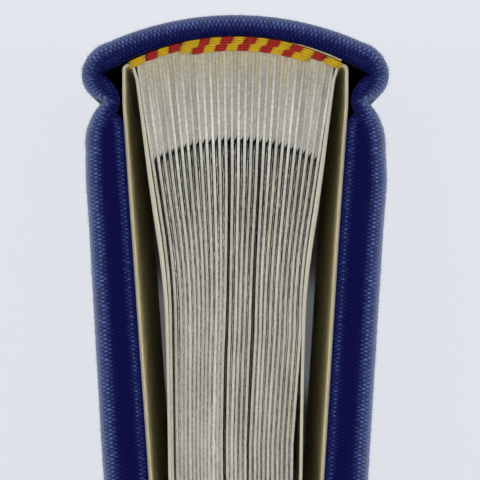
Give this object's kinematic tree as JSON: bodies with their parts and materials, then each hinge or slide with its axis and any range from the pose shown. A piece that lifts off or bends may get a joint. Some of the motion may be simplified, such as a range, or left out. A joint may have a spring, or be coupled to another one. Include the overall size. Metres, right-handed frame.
{
  "type": "photo album",
  "caption": "Case-bound photo album with a rounded cloth spine, hinged cloth covers, card leaves on guards and sewn headbands, standing on its tail.",
  "frame": {"origin": "middle of the footprint, on the surface that the album stands on", "axes": "+Z towards the head, +Y towards the spine, +X across the thickness towards the back cover"},
  "size_m": [0.04, 0.1418, 0.195],
  "materials": {
    "book_cloth": "matte linen weave",
    "board": "matte",
    "leaf_card": "matte",
    "guard_card": "matte",
    "endpaper": "matte",
    "lining": "matte",
    "yellow_thread": "silky thread",
    "red_thread": "silky thread"
  },
  "bodies": {
    "root": {"page_block": "leaf_card", "guard_strips": "guard_card", "front_flyleaf": "endpaper", "back_flyleaf": "endpaper", "spine_lining": "lining", "spine_board": "board", "spine_cloth": "book_cloth", "headband_yellow": "yellow_thread", "headband_red": "red_thread", "tailband_yellow": "yellow_thread", "tailband_red": "red_thread"},
    "front_cover": {"front_board": "board", "front_cover_cloth": "book_cloth", "front_pastedown": "endpaper"},
    "back_cover": {"back_board": "board", "back_cover_cloth": "book_cloth", "back_pastedown": "endpaper"}
  },
  "joints": [
    {"name": "front_cover_hinge", "type": "hinge", "parent": "root", "child": "front_cover", "pos_m": [-0.0203, 0.0596, 0.0975], "axis": [0, 0, -1], "range_deg": [0, 178]},
    {"name": "back_cover_hinge", "type": "hinge", "parent": "root", "child": "back_cover", "pos_m": [0.0203, 0.0596, 0.0975], "axis": [0, 0, 1], "range_deg": [0, 178]}
  ]
}
